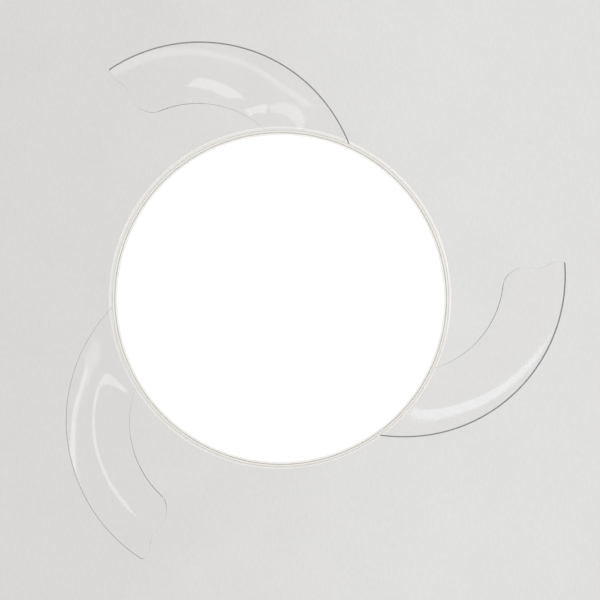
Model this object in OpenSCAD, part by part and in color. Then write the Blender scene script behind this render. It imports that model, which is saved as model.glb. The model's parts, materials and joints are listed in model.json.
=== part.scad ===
// Ceiling fan with a round lamp and three clear blades that swing out from under the housing.
// Millimetres, +Z up. The origin is the middle of the ceiling face, and the fan hangs below it.
// The model stands with its blades out. Blade 1 turns on the +Y pivot, and 2 and 3 follow counter-clockwise.

/* [Body] */
// Outside diameter of the upper housing
housing_d = 548; // [500:1:660]
// Wall of the upper housing
housing_wall = 2.5; // [1.5:0.1:4]
// Height of the upper housing, crown to rim
housing_h = 66.5; // [60:0.5:80]
// Width of the housing's lip, turned inward at the rim
lip_w = 8; // [4:0.5:10]
// Rounding of the rim's outer corner
rim_round = 3.5; // [1:0.5:4]
// Outside diameter of the canopy
canopy_d = 176; // [168:1:210]
// Height of the canopy
canopy_h = 39.4; // [38:0.2:50]
// Wall of the canopy
canopy_wall = 1.5; // [1:0.1:2.5]

/* [Ceiling bracket] */
// Distance between the two fixing slots
slot_spacing = 120; // [112:1:130]
// Width of a fixing slot
slot_w = 5.5; // [4.5:0.1:6.5]
// Length of a fixing slot, end to end
slot_l = 20; // [12:1:24]
// Thickness of the pressed steel
bracket_t = 2.5; // [2:0.1:3]
// Width of the strap
bracket_w = 34; // [28:1:40]
// How far the middle of the strap hangs below its feet
bracket_dip = 24; // [23:0.5:26]

/* [Shaft and motor] */
// Outside radius of the hollow shaft
shaft_r = 10; // [9:0.5:12]
// Bore radius of the hollow shaft
shaft_bore_r = 7; // [5:0.5:8]
// Outside radius of the laminated core
core_r = 58; // [50:1:62]
// Height of the laminated core
core_h = 20; // [14:1:22]
// Number of wound poles
poles = 12; // [9:3:15]
// Number of magnets
magnets = 16; // [10:2:20]
// Thickness of a magnet
magnet_t = 3.5; // [2.5:0.1:4.5]
// Wall of the rotor ring
rotor_wall = 4; // [3:0.1:5]

/* [Blade mechanism] */
// Distance of the blade pivots from the fan axis
pivot_r = 157.5; // [145:0.5:170]
// Teeth on a full circle of a blade arm
arm_teeth = 60; // [60]
// Teeth on a full circle of the synchronising ring
ring_teeth = 150; // [150]
// Thickness of the toothed parts
gear_t = 7; // [5:0.5:9]
// Turn of a blade from the closed circle to fully out
open_angle = 78; // [70:1:82]
// Turn of a blade between its two stops
travel = 76; // [68:1:80]
// Radius of the pivot pins
pin_r = 4; // [3:0.1:5]
// Wall of the pivot bushes
bush_wall = 2; // [1:0.1:2.5]
// Outside radius of the arm's boss round the bush
boss_r = 14; // [11:0.5:15]
// Distance between the carrier plate and the cover plate
plate_gap = 34.6; // [32:0.2:40]
// Thickness of the carrier plate
carrier_t = 2.5; // [2:0.1:4]
// Thickness of the cover plate
cover_t = 2; // [1.5:0.1:3]

/* [Blades] */
// How far the closed blades stay inside the housing's edge
rim_cover = 15.3; // [10:0.1:20]
// How far the inner edge of a blade lies inside the pivot circle
inner_edge_in = 2.5; // [0:0.5:6]
// Thickness of the acrylic
blade_t = 2.6; // [2:0.1:3.4]
// Angle from the pivot to the hollow of the end edge, round the blade's own arc
blade_sweep = 120.5; // [112:0.5:121]
// How far the outer corner of the end edge stands forward
horn = 2.4; // [0:0.1:4]
// Droop of the inner edge below the ridge
inner_drop = 22; // [8:0.5:22]
// Droop of the outer edge below the ridge
outer_drop = 5; // [0:0.5:8]
// Share of the outer droop that has gone at the tip
wash_out = 0.6; // [0:0.05:0.8]
// Where the ridge lies, from 0 at the inner edge to 1 at the outer
ridge_v = 0.64; // [0.5:0.01:0.75]

/* [Lamp] */
// Outside diameter of the lamp frame
lamp_d = 503; // [470:1:540]
// Visible width of the lamp frame
frame_w = 5.5; // [4.5:0.1:9]
// Height of the lamp, tray top to frame bottom
lamp_h = 59; // [52:0.5:75]
// Wall of the lamp tray
pan_wall = 1.5; // [1:0.1:2.5]
// Crown of the diffuser below the frame
diffuser_crown = 7; // [3:0.5:12]
// Wall of the diffuser
diffuser_wall = 2; // [1.5:0.1:3]

/* [Hidden] */
$fn = 96;

// Clearances
seat = 0.02;      // pressed or glued round a cylinder
running = 0.04;   // a bore that turns on a pin
thrust = 0.3;     // between faces that slide past each other
ease = 0.15;      // a screw in its hole
eps = 0.01;       // a cut that passes its face

// Depths below the ceiling, top to bottom
canopy_top = 0.6;
canopy_bottom = canopy_top + canopy_h;
housing_top = canopy_bottom + 1;
rim_depth = housing_top + housing_h;
recess_floor = housing_top + 5;                    // the sunk middle of the housing
flange_top = recess_floor + housing_wall;
flange_t = 4;
bearing_w = 9;
motor_top = flange_top + flange_t + 3;
core_mid = motor_top + bearing_w + 14;
lower_bearing = motor_top + bearing_w + 28;
carrier_top = lower_bearing + bearing_w;
carrier_under = carrier_top + carrier_t;
gear_top = carrier_under + thrust;
gear_under = gear_top + gear_t;
cover_top = carrier_under + plate_gap;
cover_under = cover_top + cover_t;
pan_top = cover_under + 6;
lamp_bottom = pan_top + lamp_h;

// Radii
housing_r = housing_d / 2;
canopy_r = canopy_d / 2;
bearing_r = shaft_r + 8.5;
ball_r = 2.9;
ball_path = (shaft_r + bearing_r) / 2;
magnet_in = core_r + 0.8;
ring_in = magnet_in + magnet_t;
rotor_r = ring_in + rotor_wall;
flange_r = rotor_r + 9;                            // bolted edge of the rotor
bolt_r = rotor_r + 4.5;
plate_r = pivot_r + 15;

// Gears
gear_m = 2 * pivot_r / (arm_teeth + ring_teeth);
arm_pitch_r = gear_m * arm_teeth / 2;
ring_pitch_r = gear_m * ring_teeth / 2;
pressure = 20;
backlash = 0.08;
tooth_up = gear_m;
tooth_down = 1.25 * gear_m;
ring_travel = travel * arm_teeth / ring_teeth;
arm_pitch = 360 / arm_teeth;
ring_pitch = 360 / ring_teeth;
arm_sector = 20;                                   // teeth cut on an arm
ring_sector = 21;                                  // teeth cut on the ring for each arm
collar_r = ring_pitch_r - 17.5;                    // the ring turns on this collar
slot_r = collar_r + 7.8;                           // stop slots in the ring
stop_r = 3;

// Blades. Each is drawn on the closed circle, with its pivot on +Y and its length clockwise from there.
blade_out_r = housing_r - rim_cover;
blade_in_r = pivot_r - inner_edge_in;
blade_w = blade_out_r - blade_in_r;
root_b = 7.5;                                      // where the root begins, in degrees from the pivot
root_corner = 12.5;                                // how far the outer root corner falls back
pad_b = 15;                                        // the line of screws
pad_r = (blade_in_r + blade_out_r) / 2;
pad_edge = 14.85;                                  // from the pad's ends to the blade's edges
pad_l = blade_w - 2 * pad_edge;
pad_w = 22;
screw_step = pad_l / 2 - 10;
screw_r = 2;
flat_b = 24;                                       // the root is flat up to here
twist_b = 58;                                      // and the full section starts here
clamp_t = 2;
extra_open = [0, 0, arm_pitch];                    // blade 3 stands one tooth further out
blade_steps = 44;
width_steps = 14;

function down(d) = -d;
function arc_point(r, b) = [r * sin(b), r * cos(b)];
function turned(p, a) = [p[0] * cos(a) - p[1] * sin(a), p[0] * sin(a) + p[1] * cos(a)];
function clamp01(x) = max(0, min(1, x));
function ease_curve(x) = let (t = clamp01(x)) t * t * (3 - 2 * t);
function corner(x) = let (t = clamp01(x)) 1 - sqrt(1 - t * t);

// A cylinder or ring by its top and bottom depth
module disc(r, top, bottom, hole = 0) {
    translate([0, 0, down(bottom)]) difference() {
        cylinder(r = r, h = bottom - top);
        if (hole > 0) translate([0, 0, -1]) cylinder(r = hole, h = bottom - top + 2);
    }
}
module bore(r, top, bottom) {
    translate([0, 0, down(bottom)]) cylinder(r = r, h = bottom - top, $fn = 48);
}
module around(n, r, start = 0) {
    for (i = [0:n - 1]) rotate([0, 0, start + i * 360 / n]) translate([r, 0, 0]) children();
}
module screw(head_r, head_top, head_bottom, shank_r, shank_top, shank_bottom) {
    union() {
        bore(head_r, head_top, head_bottom);
        bore(shank_r, shank_top, shank_bottom);
    }
}
// A blade's own pieces, from the closed circle to where they stand
module at_pivot(k) {
    rotate([0, 0, 90 + 120 * (k - 1)]) translate([pivot_r, 0, 0])
        rotate([0, 0, extra_open[k - 1]]) children();
}
module at_blade(k) {
    rotate([0, 0, 120 * (k - 1)]) translate([0, pivot_r, 0])
        rotate([0, 0, open_angle + extra_open[k - 1]]) translate([0, -pivot_r, 0]) children();
}

// ---- Gear teeth ----
function involute(a) = tan(a) * 180 / PI - a;
function half_tooth(r, pitch_r, teeth) =
    90 / teeth - backlash / pitch_r * 180 / PI / 2 + involute(pressure)
    - involute(acos(min(1, pitch_r * cos(pressure) / r)));
function tooth_outline(pitch_r, teeth, at) =
    let (rs = [pitch_r - tooth_down, pitch_r - tooth_down / 3, pitch_r + tooth_up / 3, pitch_r + tooth_up])
    concat([for (r = rs) let (a = at - half_tooth(r, pitch_r, teeth)) [r * cos(a), r * sin(a)]],
           [for (i = [3:-1:0]) let (r = rs[i], a = at + half_tooth(r, pitch_r, teeth))
               [r * cos(a), r * sin(a)]]);
// Teeth from one bearing to another, closed by the points given
module toothed_sector(pitch_r, teeth, first, count, back) {
    step = 360 / teeth;
    polygon(concat([for (i = [0:count - 1]) each tooth_outline(pitch_r, teeth, first + i * step)], back));
}

// ---- Fixed parts at the ceiling ----
foot_in = slot_spacing / 2 - 17;
bend_at = foot_in - 12;                            // the strap's dropped middle ends here
foot_out = canopy_r - canopy_wall - 4;
module ceiling_bracket() {
    lug_h = 20;
    low = bracket_dip + bracket_t;
    color("lightgray") difference() {
        union() {
            translate([-bend_at, -bracket_w / 2, down(low)])
                cube([2 * bend_at, bracket_w, bracket_t]);
            for (s = [0, 180]) rotate([0, 0, s]) {
                translate([0, bracket_w / 2, 0]) rotate([90, 0, 0]) linear_extrude(bracket_w) polygon([
                    [bend_at - eps, down(low)], [bend_at + 2, down(low)], [foot_in + 2, down(bracket_t)],
                    [foot_out, down(bracket_t)], [foot_out, 0], [foot_in, 0],
                    [bend_at, down(bracket_dip)], [bend_at - eps, down(bracket_dip)]]);
                translate([foot_out - bracket_t, -12, down(lug_h)])
                    cube([bracket_t, 24, lug_h - bracket_t + eps]);
            }
        }
        bore(shaft_r + ease, bracket_dip - 1, low + 1);
        for (s = [0, 180]) rotate([0, 0, s]) {
            for (e = [-1, 1]) translate([slot_spacing / 2 + e * (slot_l - slot_w) / 2, 0, 0])
                bore(slot_w / 2, -1, bracket_t + 1);
            translate([slot_spacing / 2 - (slot_l - slot_w) / 2, -slot_w / 2, down(bracket_t + 1)])
                cube([slot_l - slot_w, slot_w, bracket_t + 2]);
            translate([foot_out - 6, 0, down(12)]) rotate([0, 90, 0]) cylinder(r = 1.95, h = 12, $fn = 32);
        }
    }
}
module canopy_profile(inset) {
    round_r = 10;
    r = canopy_r - inset;
    polygon(concat([[0, down(canopy_top)], [r, down(canopy_top)]],
        [for (i = [0:6]) let (a = i * 15, q = round_r - inset)
            [r - q + q * cos(a), down(canopy_bottom - inset - q) - q * sin(a)]],
        [[0, down(canopy_bottom - inset)]]));
}
module canopy() {
    color("white") difference() {
        rotate_extrude() canopy_profile(0);
        translate([0, 0, eps]) rotate_extrude() canopy_profile(canopy_wall);
        bore(shaft_r + 12, canopy_bottom - 6, canopy_bottom + 1);
        for (s = [0, 180]) rotate([0, 0, s]) translate([canopy_r - 10, 0, down(12)])
            rotate([0, 90, 0]) cylinder(r = 2 + ease, h = 20, $fn = 32);
    }
}
module canopy_screws() {
    color("silver") around(2, canopy_r) translate([0, 0, down(12)]) rotate([0, 90, 0]) {
        cylinder(r = 3.6, h = 2.2, $fn = 32);
        translate([0, 0, -12]) cylinder(r = 1.9, h = 12 + eps, $fn = 32);
    }
}
block_x = 3 * shaft_r / sqrt(3) + thrust;          // clear of the nut's corners
block_l = bend_at - 1 - block_x;
block_h = 9;
shaft_end = bracket_dip - block_h;                 // the leads come out of the shaft here
module terminal_block() {
    color("ivory") translate([block_x, -11, down(bracket_dip)]) difference() {
        cube([block_l, 22, block_h]);
        for (y = [4, 18]) translate([6, y, 4]) cylinder(r = 1.8, h = 6, $fn = 24);
        for (y = [4, 11, 18]) translate([8, y, 3.5]) rotate([0, 90, 0]) cylinder(r = 1.6, h = 6, $fn = 24);
    }
}
lead_r = 3;
lead_bend = 8;
lead_to = block_x + 5.4;
driver_x = 46;
module elbow() {
    rotate([90, 0, 0]) rotate_extrude(angle = 90, $fn = 48)
        translate([lead_bend, 0]) circle(r = lead_r, $fn = 24);
}
module lead_run(x0, x1, depth) {
    translate([x0 - eps, 0, down(depth)]) rotate([0, 90, 0])
        cylinder(r = lead_r, h = x1 - x0 + 2 * eps, $fn = 24);
}
// One bundle: over into the terminals, straight through the shaft, and out to the driver
module wiring_loom() {
    top_run = shaft_end - lead_bend;
    bottom_run = pan_top + 20;
    color("dimgray") union() {
        translate([lead_to - lead_bend, 0, down(shaft_end)]) elbow();
        lead_run(lead_bend, lead_to - lead_bend, top_run);
        translate([lead_bend, 0, down(shaft_end)]) mirror([1, 0, 0]) elbow();
        bore(lead_r, shaft_end - eps, bottom_run - lead_bend + eps);
        translate([lead_bend, 0, down(bottom_run - lead_bend)]) rotate([0, 180, 0]) elbow();
        lead_run(lead_bend, driver_x - eps, bottom_run);
    }
}
module receiver_box() {
    color("whitesmoke") translate([-34, 26, down(canopy_bottom - canopy_wall - thrust)]) difference() {
        cube([68, 30, 16]);
        for (x = [-1, 63]) translate([x, 9, 5]) cube([6, 12, 6]);
    }
}
module hollow_shaft() {
    color("silver") difference() {
        union() {
            disc(shaft_r, shaft_end, pan_top + 10);
            disc(44, flange_top, flange_top + flange_t);
        }
        bore(shaft_bore_r, 0, pan_top + 20);
        around(4, 34, 45) bore(screw_r - 0.1, flange_top - 1, flange_top + flange_t + 1);
    }
}
module hex_nut(top, bottom, flats) {
    difference() {
        translate([0, 0, down(bottom)]) cylinder(r = flats / sqrt(3), h = bottom - top, $fn = 6);
        bore(shaft_r + seat, top - 1, bottom + 1);
    }
}
module shaft_nuts() {
    color("gray") {
        hex_nut(bracket_dip - 7, bracket_dip, 3 * shaft_r);
        hex_nut(bracket_dip + bracket_t, bracket_dip + bracket_t + 7, 3 * shaft_r);
    }
}

// ---- Upper housing ----
lip_t = rim_round + 0.5;
module housing_profile(inset, bottom, round_r = 0) {
    shoulder = 34;                                 // radius of the rounded shoulder
    r = housing_r - inset;
    q = shoulder - inset;
    crown = housing_top + inset;
    fall = 8;                                      // the crown slopes down to the shoulder
    polygon(concat([[0, down(recess_floor + inset)], [54 - inset, down(recess_floor + inset)],
                    [60 - inset, down(crown)], [120, down(crown + 1)]],
        [for (i = [0:10]) let (a = 90 - i * 9) [r - q + q * cos(a), down(crown + fall + q) + q * sin(a)]],
        [for (i = [0:round_r > 0 ? 6 : 0]) let (a = i * 15)
            [r - round_r + round_r * cos(a), down(bottom - round_r) - round_r * sin(a)]],
        [[0, down(bottom)]]));
}
module upper_housing() {
    color("white") difference() {
        rotate_extrude() housing_profile(0, rim_depth, rim_round);
        rotate_extrude() housing_profile(housing_wall, rim_depth - lip_t);
        disc(housing_r - lip_w, rim_depth - lip_t - 1, rim_depth + 1);
        bore(shaft_r + ease, recess_floor - 1, flange_top + 1);
        around(4, 34, 45) bore(screw_r + ease, recess_floor - 1, flange_top + 1);
    }
}
module housing_screws() {
    tip = flange_top + flange_t;
    color("silver") around(4, 34, 45)
        screw(3.6, recess_floor - 2.4, recess_floor, screw_r - 0.15, recess_floor - eps, tip);
}

// ---- Motor ----
module bearing_ring(r_in, r_out, top) {
    difference() {
        disc(r_out, top, top + bearing_w, r_in);
        translate([0, 0, down(top + bearing_w / 2)]) rotate_extrude()
            translate([ball_path, 0]) circle(r = ball_r + 0.05, $fn = 32);
    }
}
module bearing_inner_rings() {
    color("silver") for (t = [motor_top, lower_bearing]) bearing_ring(shaft_r + seat, ball_path - 1.6, t);
}
module bearing_outer_rings() {
    color("silver") for (t = [motor_top, lower_bearing]) bearing_ring(ball_path + 1.6, bearing_r, t);
}
module bearing_balls() {
    color("lightgray") for (t = [motor_top, lower_bearing]) translate([0, 0, down(t + bearing_w / 2)])
        around(9, ball_path) sphere(r = ball_r, $fn = 32);
}
tooth_w = 9;
yoke_r = 30;
module stator_core() {
    top = core_mid - core_h / 2;
    bottom = core_mid + core_h / 2;
    color("dimgray") difference() {
        union() {
            disc(shaft_r + 4, motor_top + bearing_w, lower_bearing);
            disc(yoke_r, top, bottom);
            difference() {
                union() {
                    around(poles, 0) translate([yoke_r - 2, -tooth_w / 2, down(bottom)])
                        cube([core_r - yoke_r + 1, tooth_w, core_h]);
                    disc(core_r, top, bottom, core_r - 3);
                }
                around(poles, core_r, 180 / poles) translate([-8, -1.5, down(bottom + 1)])
                    cube([12, 3, core_h + 2]);
                disc(core_r + 10, top - 1, bottom + 1, core_r);
            }
        }
        bore(shaft_r + seat, motor_top, lower_bearing + 1);
    }
}
module stator_windings() {
    wire_t = 3;
    long = core_r - 3 - yoke_r - 4;
    color("peru") around(poles, yoke_r + 3) translate([0, 0, down(core_mid)]) difference() {
        translate([0, -tooth_w / 2 - wire_t, -core_h / 2 - wire_t])
            cube([long, tooth_w + 2 * wire_t, core_h + 2 * wire_t]);
        translate([-1, -tooth_w / 2 - seat, -core_h / 2 - seat])
            cube([long + 2, tooth_w + 2 * seat, core_h + 2 * seat]);
    }
}
module stack_spacers() {
    color("silver") {
        disc(shaft_r + 2.4, flange_top + flange_t, motor_top, shaft_r + seat);
        disc(shaft_r + 3, carrier_top, pan_top, shaft_r + seat);
    }
}
module rotor_shell() {
    color("gainsboro") difference() {
        union() {
            disc(rotor_r, motor_top - 0.5, lower_bearing + 4);
            disc(flange_r, lower_bearing + 1, lower_bearing + 4);
        }
        disc(ring_in, motor_top + 2, lower_bearing + 5, bearing_r + 3);
        disc(bearing_r + 4, motor_top + bearing_w, lower_bearing + 5);
        bore(bearing_r + seat, motor_top, lower_bearing + 5);
        bore(bearing_r - 2, motor_top - 2, lower_bearing + 5);
        around(6, (bearing_r + ring_in) / 2 + 2, 30) bore(9, motor_top - 2, motor_top + 4);
        around(6, bolt_r) bore(screw_r - 0.1, lower_bearing, lower_bearing + 5);
    }
}
module rotor_cap() {
    color("gainsboro") difference() {
        union() {
            disc(flange_r, lower_bearing + 4, carrier_top);
            disc(bearing_r + 3, lower_bearing, carrier_top);
        }
        bore(bearing_r + seat, lower_bearing - 1, carrier_top + 1);
        around(6, bolt_r) bore(screw_r + ease, lower_bearing + 3, carrier_top + 1);
    }
}
module rotor_magnets() {
    span = 360 / magnets - 3;
    color("slategray") for (i = [0:magnets - 1]) rotate([0, 0, i * 360 / magnets])
        translate([0, 0, down(core_mid + core_h / 2 + 1)]) rotate_extrude(angle = span)
            translate([magnet_in, 0]) square([magnet_t - seat, core_h + 2]);
}

// ---- Rotor plates ----
module carrier_plate() {
    color("lightgray") difference() {
        disc(plate_r, carrier_top, carrier_under, bearing_r - 1);
        around(6, bolt_r) bore(screw_r + ease, carrier_top - 1, carrier_under + 1);
        around(3, pivot_r, 90) bore(pin_r + seat, carrier_top - 1, carrier_under + 1);
        around(3, post_ring, 30) bore(screw_r + ease, carrier_top - 1, carrier_under + 1);
        around(3, slot_r, stop_at) bore(1.5 + seat, carrier_top - 1, carrier_under + 1);
        around(3, collar_r - 3.5, 15) bore(1.3, carrier_top - 1, carrier_under + 1);
        for (s = [-1, 1]) around(3, post_ring + 3, 30 + s * 28) bore(11, carrier_top - 1, carrier_under + 1);
    }
}
// The toothed ring turns on this collar, and the keeper holds it there
module ring_collar() {
    color("silver") difference() {
        disc(collar_r, carrier_under, gear_under + thrust, collar_r - 7);
        around(3, collar_r - 3.5, 15) bore(1.5, carrier_under - 1, gear_under + 1);
    }
}
module carrier_screws() {
    top = carrier_under;
    color("silver") around(6, bolt_r)
        screw(3.6, top, top + 2.4, screw_r - 0.15, lower_bearing + 1, top + eps);
}
keeper_t = 1.5;
keeper_r = collar_r + 4;
module ring_keeper() {
    top = gear_under + thrust;
    color("silver") difference() {
        disc(keeper_r, top, top + keeper_t, collar_r - 7);
        around(3, collar_r - 3.5, 15) bore(1.5 + ease, top - 1, top + keeper_t + 1);
    }
}
module keeper_screws() {
    top = gear_under + thrust + keeper_t;
    color("silver") around(3, collar_r - 3.5, 15)
        screw(2.8, top, top + 1.8, 1.25, carrier_top + 0.5, top + eps);
}
post_ring = (ring_pitch_r + pivot_r) / 2;          // clear of the ring, the arms and the closed blades
post_r = 5;
stop_at = 76;                                      // bearing of the first stop pin
module stop_pins() {
    color("black") around(3, slot_r, stop_at) union() {
        bore(1.5, carrier_top, carrier_under + eps);
        bore(stop_r, carrier_under, gear_under + 1.5);
    }
}
module pivot_pins() {
    color("silver") around(3, pivot_r, 90) difference() {
        union() {
            bore(pin_r + 3, carrier_top - 2.5, carrier_top);
            bore(pin_r, carrier_top - eps, cover_under + 3.5);
        }
        disc(pin_r + 1, cover_under + thrust, cover_under + thrust + 1.2, pin_r - 0.8);
    }
}
module pin_clips() {
    color("gray") around(3, pivot_r, 90) difference() {
        bore(pin_r + 3, cover_under + thrust + 0.1, cover_under + thrust + 1.1);
        bore(pin_r - 0.8 + seat, cover_under, cover_under + 3);
        translate([0, -1.6, down(cover_under + 3)]) cube([12, 3.2, 4]);
    }
}
module cover_plate() {
    color("lightgray") difference() {
        disc(plate_r, cover_top, cover_under, ring_pitch_r - 30);
        around(3, pivot_r, 90) bore(pin_r + seat, cover_top - 1, cover_under + 1);
        around(3, post_ring, 30) bore(screw_r + ease, cover_top - 1, cover_under + 1);
        for (k = [1:3]) at_pivot(k) rotate([0, 0, spring_foot]) translate([spring_r, 0, 0])
            bore(spring_wire / 2 + 0.2, cover_top - 1, cover_under + 1);
    }
}
module cover_posts() {
    color("silver") around(3, post_ring, 30) difference() {
        bore(post_r, carrier_under, cover_top);
        bore(screw_r - 0.1, carrier_under - 1, carrier_under + 9);
        bore(screw_r - 0.1, cover_top - 9, cover_top + 1);
    }
}
module cover_screws() {
    color("silver") around(3, post_ring, 30) {
        screw(3.6, carrier_top - 2.4, carrier_top, screw_r - 0.15, carrier_top - eps, carrier_under + 8);
        screw(3.6, cover_under, cover_under + 2.4, screw_r - 0.15, cover_top - 8, cover_under + eps);
    }
}

// ---- Return springs ----
spring_wire = 1.6;
spring_r = 12;                                     // mean radius of the coils
spring_turns = 4;
spring_top = gear_under + 7;
spring_pitch = 2.5;
spring_low = spring_top + spring_pitch * spring_turns;
coil_steps = 16;
peg_r = 2.5;
peg_at = 20;
peg_a = 230;                                       // bearing of the arm's peg while the blade is closed
// The upper leg lies against the arm's peg, and the foot stands in the cover plate
leg_a = peg_a + open_angle - 90 + asin((peg_r + spring_wire / 2 + thrust) / peg_at);
spring_foot = leg_a - 360 * spring_turns - 12;
function polar(r, a, d) = [r * cos(a), r * sin(a), down(d)];
function coil_path() = concat(
    [polar(spring_r, spring_foot, cover_under - 0.4), polar(spring_r, spring_foot, spring_low + 1.6)],
    [for (i = [0:coil_steps * spring_turns]) let (turn = i / coil_steps)
        polar(spring_r, spring_foot + 8 + 360 * turn, spring_low - spring_pitch * turn)],
    [polar(spring_r + 1.6, leg_a, spring_top), polar(peg_at + peg_r + 1, leg_a, spring_top)]);
function unit(v) = v / norm(v);
function path_dir(p, i) = unit(p[min(i + 1, len(p) - 1)] - p[max(i - 1, 0)]);
// A tube of flat-sided wire along a path
module wire(p, r, sides) {
    rings = [for (i = [0:len(p) - 1]) let (d = path_dir(p, i),
        across = abs(d[2]) > 0.9 ? [cos(spring_foot), sin(spring_foot), 0] : [0, 0, 1],
        side = unit(cross(d, across)), up = cross(side, d))
        each [for (j = [0:sides - 1]) let (a = j * 360 / sides) p[i] + r * cos(a) * side + r * sin(a) * up]];
    n = len(p);
    polyhedron(rings, concat(
        [for (i = [0:n - 2], j = [0:sides - 1]) let (a = i * sides + j, b = i * sides + (j + 1) % sides)
            each [[a, b + sides, b], [a, a + sides, b + sides]]],
        [[for (j = [0:sides - 1]) j]], [[for (j = [sides - 1:-1:0]) (n - 1) * sides + j]]));
}
module return_springs() {
    color("gray") for (k = [1:3]) at_pivot(k) wire(coil_path(), spring_wire / 2, 6);
}

// ---- Synchronising ring ----
module sync_ring() {
    first = 90 + 4 * ring_pitch - (ring_sector - 1) * ring_pitch;
    last = first + (ring_sector - 1) * ring_pitch;
    back_r = ring_pitch_r - tooth_down - 1.5;
    back = [for (i = [0:12]) let (a = last + ring_pitch / 2 - i * (last - first + ring_pitch) / 12)
        [back_r * cos(a), back_r * sin(a)]];
    color("dimgray") difference() {
        union() {
            disc(ring_pitch_r - tooth_down + 0.15, gear_top, gear_under);
            for (i = [0:2]) rotate([0, 0, 120 * i]) translate([0, 0, down(gear_under)])
                linear_extrude(gear_t) toothed_sector(ring_pitch_r, ring_teeth, first, ring_sector, back);
        }
        bore(collar_r + running, gear_top - 1, gear_under + 1, $fn = 96);
        // a slot for each stop pin: the ring turns counter-clockwise as the blades close
        for (i = [0:2]) rotate([0, 0, stop_at + 120 * i - ring_travel]) {
            translate([0, 0, down(gear_under + 1)]) rotate_extrude(angle = ring_travel)
                translate([slot_r - stop_r - thrust, 0]) square([2 * (stop_r + thrust), gear_t + 2]);
            for (a = [0, ring_travel]) rotate([0, 0, a]) translate([slot_r, 0, 0])
                bore(stop_r + 1.3 * thrust, gear_top - 1, gear_under + 1);
        }
    }
}

// ---- Blade arms ----
// Outline of the arm from its boss to the two ends of the screw pad
module arm_web(inset) {
    hub = [0, pivot_r];
    dir = arc_point(1, pad_b);
    half = pad_l / 2 - pad_w / 2;
    near = (pad_r - half) * dir;
    far = (pad_r + half) * dir;
    far_side = unit(turned(far - hub, 90));
    near_side = unit(turned(near - hub, 90));
    polygon([hub + (boss_r - inset) * far_side, far + 0.6 * (pad_w / 2 - inset) * far_side,
             far - inset * dir, near + inset * dir,
             near - 0.5 * (pad_w / 2 - inset) * near_side, hub - (boss_r - inset) * near_side]);
}
module blade_pad(top, bottom, grow) {
    rotate([0, 0, -pad_b]) union() {
        translate([-pad_w / 2 - grow, pad_r - pad_l / 2 + pad_w / 2, down(bottom)])
            cube([pad_w + 2 * grow, pad_l - pad_w, bottom - top]);
        for (s = [-1, 1]) translate([0, pad_r + s * (pad_l - pad_w) / 2, 0])
            bore(pad_w / 2 + grow, top, bottom);
    }
}
module at_pad_screws() {
    rotate([0, 0, -pad_b]) for (s = [-1, 0, 1]) translate([0, pad_r + s * screw_step, 0]) children();
}
module blade_arm() {
    first = 270 + arm_pitch / 2 - open_angle - 3 * arm_pitch;
    last = first + (arm_sector - 1) * arm_pitch;
    hub_low_r = pin_r + bush_wall + 2.8;
    difference() {
        union() {
            blade_pad(gear_top, gear_under, 0);
            translate([0, 0, down(gear_under)]) linear_extrude(gear_t) arm_web(0);
            translate([0, pivot_r, 0]) {
                bore(boss_r, gear_top, gear_under, $fn = 96);
                bore(hub_low_r, gear_under - eps, cover_top - thrust);
                translate([0, 0, down(gear_under)]) linear_extrude(gear_t)
                    toothed_sector(arm_pitch_r, arm_teeth, first, arm_sector,
                                   [for (a = [last + 25, first - 25]) [10 * cos(a), 10 * sin(a)]]);
                rotate([0, 0, peg_a]) translate([peg_at, 0, 0]) bore(peg_r, gear_under - eps, spring_top + 2);
            }
        }
        translate([0, pivot_r, 0]) bore(pin_r + bush_wall + seat, gear_top - 1, cover_top);
        // moulded pockets, open at the top
        translate([0, pivot_r, 0]) for (a = [0.28, 0.72]) rotate([0, 0, first + a * (last - first)])
            translate([arm_pitch_r * 0.6, 0, 0]) bore(arm_pitch_r * 0.16, gear_top - 1, gear_under + 1);
        intersection() {
            translate([0, 0, down(gear_under - 2.5)]) linear_extrude(gear_t) arm_web(3.2);
            difference() {
                disc(pad_r + pad_l, gear_top - 1, gear_under - 2.5);
                translate([0, pivot_r, 0]) bore(boss_r + 0.5, gear_top - 2, gear_under);
                blade_pad(gear_top - 2, gear_under, 2);
            }
        }
        at_pad_screws() bore(screw_r - 0.1, gear_top + 1.5, gear_under + 1);
    }
}
module pivot_bush() {
    color("goldenrod") translate([0, pivot_r, 0])
        difference() {
            bore(pin_r + bush_wall, gear_top, cover_top - thrust);
            bore(pin_r + running, gear_top - 1, cover_top + 1);
        }
}

// ---- Blades ----
function root_angle(v) = root_b + root_corner * corner((v - 0.45) / 0.55);
function end_angle(v) = blade_sweep + horn * ease_curve((v - 0.58) / 0.32) - 0.9 * corner((v - 0.88) / 0.12)
    + 0.7 * sin(180 * clamp01((v - 0.12) / 0.48)) - 9 * corner((0.3 - v) / 0.3);
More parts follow.
